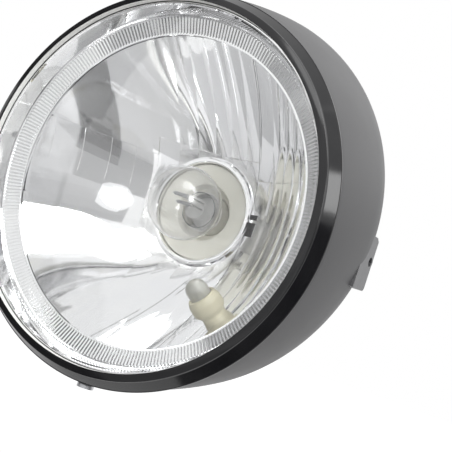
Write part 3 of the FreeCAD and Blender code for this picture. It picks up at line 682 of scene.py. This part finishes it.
CAP_FRONT = FOCUS + GLOBE_R + 2.5
CAP_BACK = CAP_FRONT + 16.0
HOLDER_FRONT = NECK_FRONT + 2.6
DISH_Y = HOLDER_FRONT + 1.5
DISH_R = 14.0
CAP_BORE_R = 10.2
PIN_Y = CAP_FRONT + 10.0
PIN_HALF = 1.7
PIN_GROOVE_R = 11.8
PLATE_FRONT = CAP_BACK + 1.2
PLATE_R = 12.2
HOLDER_BACK = PLATE_FRONT + 2.4 + 6.0
HOLDER_R = 15.0
COLLAR_R = 23.8
STOP_R = 26.2
STOP_BACK = NECK_BACK + 2.5
WELL_FLOOR = PIN_Y - 2.7
collar = rounded([
    (DISH_R, DISH_Y, 0.5), (COLLAR_R, HOLDER_FRONT, 0.7), (COLLAR_R, NECK_BACK, 0), (STOP_R, NECK_BACK, 0.3),
    (STOP_R, STOP_BACK, 0.3), (HOLDER_R, STOP_BACK, 0.4), (HOLDER_R, HOLDER_BACK, 0.4), (PLATE_R, HOLDER_BACK, 0.3),
    (PLATE_R, PLATE_FRONT, 0), (CAP_BORE_R, PLATE_FRONT, 0), (CAP_BORE_R, PIN_Y + PIN_HALF, 0),
    (PIN_GROOVE_R, PIN_Y + PIN_HALF, 0), (PIN_GROOVE_R, PIN_Y - PIN_HALF, 0), (CAP_BORE_R, PIN_Y - PIN_HALF, 0),
    (CAP_BORE_R, WELL_FLOOR, 0.2), (DISH_R, WELL_FLOOR, 0.4),
], 4)
add_object("bulb_holder_collar", revolve_mesh(collar, 128), "white_moulding", ["bulb_holder"])


# Position lamp on its own axis, square to the base parabola, where its y starts

LAMP_RADIUS = 60.9
LAMP_ANGLE = math.radians(-47.5)
NOSE_FRONT = -11.5
NOSE_BORE_R = 5.2
SOCKET_Y = -2.0
SMALL_BULB_R = 4.9
SMALL_BULB_INNER_R = 4.5
SMALL_BULB_FLOOR = -6.9
SMALL_BULB_TIP = NOSE_FRONT - 8.0
ALONG_Y = Vector((0, 1, 0))
radial = Vector((math.cos(LAMP_ANGLE), 0, math.sin(LAMP_ANGLE)))
slope = math.atan(LAMP_RADIUS / (2 * FOCAL))
lamp_axis = radial * math.sin(slope) + ALONG_Y * math.cos(slope)
lamp_foot = radial * LAMP_RADIUS + ALONG_Y * (VERTEX - LAMP_RADIUS ** 2 / (4 * FOCAL))
lamp_turn = ALONG_Y.rotation_difference(lamp_axis).to_matrix()


def on_lamp(mesh_data):
    verts, faces = mesh_data
    return [tuple(lamp_turn @ Vector(v) + lamp_foot) for v in verts], faces


nose = rounded([
    (NOSE_BORE_R, NOSE_FRONT, 0.3), (6.3, NOSE_FRONT, 0.9), (7.4, -8.4, 3.0), (7.4, -4.2, 2.6), (5.6, -2.0, 1.4),
    (5.6, 0.6, 0.6), (7.4, 1.6, 0), (7.4, 6.0, 0), (11.0, 6.0, 0.3), (11.0, 8.4, 0.4), (6.6, 8.4, 0.3),
    (6.6, 20.4, 0.5), (0.0, 20.4, 0), (0.0, SOCKET_Y, 0), (NOSE_BORE_R, SOCKET_Y, 0),
], 5)
add_object("position_holder_body", on_lamp(revolve_mesh(nose, 96)), "pale_moulding", ["position_bulb_holder"])

tip_centre = (0, SMALL_BULB_TIP + SMALL_BULB_R)
small_bulb = [(0.0, SMALL_BULB_TIP)] + arc(tip_centre, SMALL_BULB_R, -90.0, 0.0, 16)[1:]
small_bulb += [(SMALL_BULB_R, SOCKET_Y - 0.2), (SMALL_BULB_R - 0.2, SOCKET_Y), (0.0, SOCKET_Y)]
small_bulb += [(0.0, SMALL_BULB_FLOOR), (SMALL_BULB_INNER_R, SMALL_BULB_FLOOR)]
small_bulb += arc(tip_centre, SMALL_BULB_INNER_R, 0.0, -90.0, 16)[:-1]
small_bulb += [(0.0, SMALL_BULB_TIP + SMALL_BULB_R - SMALL_BULB_INNER_R)]
envelope = add_object("position_bulb_envelope", on_lamp(revolve_mesh(small_bulb, 64)), "bulb_glass",
                      ["position_bulb_glass"])
envelope.data.materials[0] = MILKY


# Stage, in metres: pale floor and white surround

FLOOR_Z = -0.5
FLOOR_HALF = 9
FLOOR_SHADE = 0.8
MATT = 0.9
GLOW_REACH = (0.9, 2.0)
GLOW = (0.05, 0.4)
SURROUND_LIGHT = 0.8
WHITE = (1.0, 1.0, 1.0, 1.0)


def seen(tree):
    """1 for what the camera sees, straight or by way of mirror and glass, and 0 for light that falls on things."""
    path = tree.nodes.new("ShaderNodeLightPath")
    total = path.outputs["Is Camera Ray"]
    for kind in ("Is Glossy Ray", "Is Transmission Ray"):
        step = tree.nodes.new("ShaderNodeMath")
        step.operation = "MAXIMUM"
        tree.links.new(total, step.inputs[0])
        tree.links.new(path.outputs[kind], step.inputs[1])
        total = step.outputs["Value"]
    return total


floor_mesh = bpy.data.meshes.new("floor")
floor_mesh.from_pydata([(x * FLOOR_HALF, y * FLOOR_HALF, FLOOR_Z) for x, y in ((-1, -1), (1, -1), (1, 1), (-1, 1))],
                       [], [(0, 1, 2, 3)])
floor = bpy.data.objects.new("floor", floor_mesh)
bpy.context.scene.collection.objects.link(floor)
floor_mat, floor_tree, floor_shader = material("pale_floor")
floor_shader.inputs["Base Color"].default_value = (FLOOR_SHADE, FLOOR_SHADE, FLOOR_SHADE, 1.0)
floor_shader.inputs["Roughness"].default_value = MATT
floor_shader.inputs["Emission Color"].default_value = WHITE

# The floor glows less near the headlight, so that its shadow shows there, and is white further off
floor_place = floor_tree.nodes.new("ShaderNodeTexCoord")
floor_reach = floor_tree.nodes.new("ShaderNodeVectorMath")
floor_reach.operation = "LENGTH"
floor_tree.links.new(floor_place.outputs["Object"], floor_reach.inputs[0])
floor_glow = floor_tree.nodes.new("ShaderNodeMath")
floor_glow.operation = "MULTIPLY"
floor_tree.links.new(seen(floor_tree), floor_glow.inputs[0])
floor_tree.links.new(map_range(floor_tree, floor_reach.outputs["Value"], GLOW_REACH, GLOW), floor_glow.inputs[1])
floor_tree.links.new(floor_glow.outputs["Value"], floor_shader.inputs["Emission Strength"])
floor_mesh.materials.append(floor_mat)

world = bpy.data.worlds.new("studio")
bpy.context.scene.world = world
world.use_nodes = True
sky = world.node_tree
surround = sky.nodes["Background"]
surround.inputs["Color"].default_value = WHITE
surround.inputs["Strength"].default_value = SURROUND_LIGHT
backdrop = sky.nodes.new("ShaderNodeBackground")
backdrop.inputs["Color"].default_value = WHITE
backdrop.inputs["Strength"].default_value = 1.0
choice = sky.nodes.new("ShaderNodeMixShader")
sky.links.new(seen(sky), choice.inputs["Fac"])
sky.links.new(surround.outputs["Background"], choice.inputs[1])
sky.links.new(backdrop.outputs["Background"], choice.inputs[2])
sky.links.new(choice.outputs["Shader"], sky.nodes["World Output"].inputs["Surface"])


# Grey cards on the floor and round the headlight, which only mirror and glass see

CARD_STEPS = 11
CARD_COOL = 1.01
CARD_REACH = 1.2
MAT_NEAR = 0.1
MAT_MIDDLE = 0.72
MAT_Z = FLOOR_Z + 0.004


def card_wall(low, high):
    return [(CARD_REACH, low), (CARD_REACH, high)]


# Sections of the cards, as (distance from the upright axis through the origin, height)
MAT = [(MAT_NEAR, MAT_Z), (CARD_REACH, MAT_Z)]
MAT_SHORT = [(MAT_NEAR, MAT_Z), (MAT_MIDDLE, MAT_Z)]
MAT_FAR = [(MAT_MIDDLE, MAT_Z), (CARD_REACH, MAT_Z), (CARD_REACH, -0.1)]
LOW = MAT + [(CARD_REACH, -0.2)]
MIDDLE = card_wall(-0.2, 0.17)
HIGH = card_wall(0.17, 0.8)
LEFT_SIDE = card_wall(-0.36, 0.3)

# Name, first and last azimuth in degrees from straight ahead, section and shade
CARDS = [
    ("mat_left", -30.0, 32.0, MAT_SHORT, 0.43),
    ("mat_middle", 32.0, 49.0, LOW, 0.45),
    ("mat_dim", 49.0, 62.5, MAT, 0.14),
    ("mat_dim_foot", 49.0, 62.5, card_wall(MAT_Z, -0.34), 0.22),
    ("mat_dim_top", 49.0, 62.5, card_wall(-0.34, -0.2), 0.33),
    ("mat_right", 62.5, 66.5, LOW, 0.78),
    ("mat_end", 66.5, 80.0, LOW, 0.86),
    ("wall_middle", 32.0, 62.0, MIDDLE, 0.47),
    ("wall_right", 62.0, 80.0, MIDDLE, 0.78),
    ("top_middle", 38.0, 63.5, HIGH, 0.64),
    ("top_right", 63.5, 80.0, HIGH, 0.78),
    ("flag_right", 80.0, 125.0, MAT + [(CARD_REACH, 0.19)], 0.05),
    ("flag_left_low", -120.0, -30.0, MAT + [(CARD_REACH, -0.36)], 0.1),
    ("flag_left_near", -63.0, -48.0, LEFT_SIDE, 0.14),
    ("flag_left_far", -80.0, -63.0, LEFT_SIDE, 0.28),
    ("front_grey", -48.0, 28.0, MAT_FAR, 0.7),
    ("flag_left_high", -100.0, -45.0, card_wall(0.3, 1.6), 0.1),
]


def add_card(name, first, last, section, shade):
    """A section turned about the upright axis, from one azimuth to another."""
    mesh = bpy.data.meshes.new(name)
    turns = [math.radians(turn) for turn in np.linspace(first, last, CARD_STEPS + 1)]
    points = [(reach * math.sin(turn), -reach * math.cos(turn), z) for turn in turns for reach, z in section]
    row = len(section)
    mesh.from_pydata(points, [], [(i * row + k, i * row + k + 1, (i + 1) * row + k + 1, (i + 1) * row + k)
                                  for i in range(CARD_STEPS) for k in range(row - 1)])
    mat, _, shader = material(name)
    shader.inputs["Base Color"].default_value = (shade, shade, shade * CARD_COOL, 1.0)
    shader.inputs["Roughness"].default_value = MATT
    mesh.materials.append(mat)
    card = bpy.data.objects.new(name, mesh)
    bpy.context.scene.collection.objects.link(card)
    card.visible_camera = False
    card.visible_shadow = False
    card.visible_diffuse = False


for card_entry in CARDS:
    add_card(*card_entry)


# Soft lights: name, (azimuth, elevation, distance), (width, height), power and shape, all aimed at the origin

LIGHTS = [
    ("side_strip", (90.0, 21.8, 1.1), (0.19, 0.31), 1.1, "RECTANGLE"),
    ("front_disc", (45.5, 14.5, 1.1), (0.19, 0.31), 2.0, "ELLIPSE"),
    ("front_halo", (45.5, 14.5, 1.13), (0.32, 0.46), 0.18, "ELLIPSE"),
    ("front_glow", (54.0, 50.0, 1.15), (0.75, 0.56), 0.2, "RECTANGLE"),
    ("key_disc", (61.0, 46.0, 1.1), (0.58, 0.58), 5.4, "DISK"),
    ("fill_disc", (20.0, 50.0, 1.1), (0.58, 0.58), 2.4, "DISK"),
    ("back_box", (150.0, 42.0, 1.3), (1.4, 1.2), 2.5, "RECTANGLE"),
]


def add_light(name, direction, size, power, shape):
    turn = math.radians(direction[0])
    lift = math.radians(direction[1])
    distance = direction[2]
    area = bpy.data.lights.new(name, "AREA")
    area.shape = shape
    area.size = size[0]
    area.size_y = size[1]
    area.energy = power
    light = bpy.data.objects.new(name, area)
    bpy.context.scene.collection.objects.link(light)
    place = Vector((distance * math.sin(turn) * math.cos(lift), -distance * math.cos(turn) * math.cos(lift),
                    distance * math.sin(lift)))
    light.location = place
    light.rotation_euler = (-place).to_track_quat("-Z", "Y").to_euler()


for light_entry in LIGHTS:
    add_light(*light_entry)


# Camera at the photo's viewing angle

EYE = Vector((235.706, -417.354, -33.699)) * MM
AHEAD = Vector((-0.46164, 0.88457, 0.06653))
UP = Vector((-0.25221, -0.20279, 0.94619))
NOD = 0.001
SENSOR_MM = 36.0
FOCAL_PX = 1000.0
FRAME_PX = 452.0
ahead = (AHEAD - UP * NOD).normalized()
up = (UP - ahead * UP.dot(ahead)).normalized()
right = ahead.cross(up)
camera_data = bpy.data.cameras.new("camera")
camera_data.sensor_width = SENSOR_MM
camera_data.lens = SENSOR_MM * FOCAL_PX / FRAME_PX
camera_data.clip_start = 0.01
camera = bpy.data.objects.new("camera", camera_data)
bpy.context.scene.collection.objects.link(camera)
camera.matrix_world = Matrix((
    (right.x, up.x, -ahead.x, EYE.x),
    (right.y, up.y, -ahead.y, EYE.y),
    (right.z, up.z, -ahead.z, EYE.z),
    (0, 0, 0, 1),
))
bpy.context.scene.camera = camera
bpy.context.scene.view_settings.view_transform = "Standard"
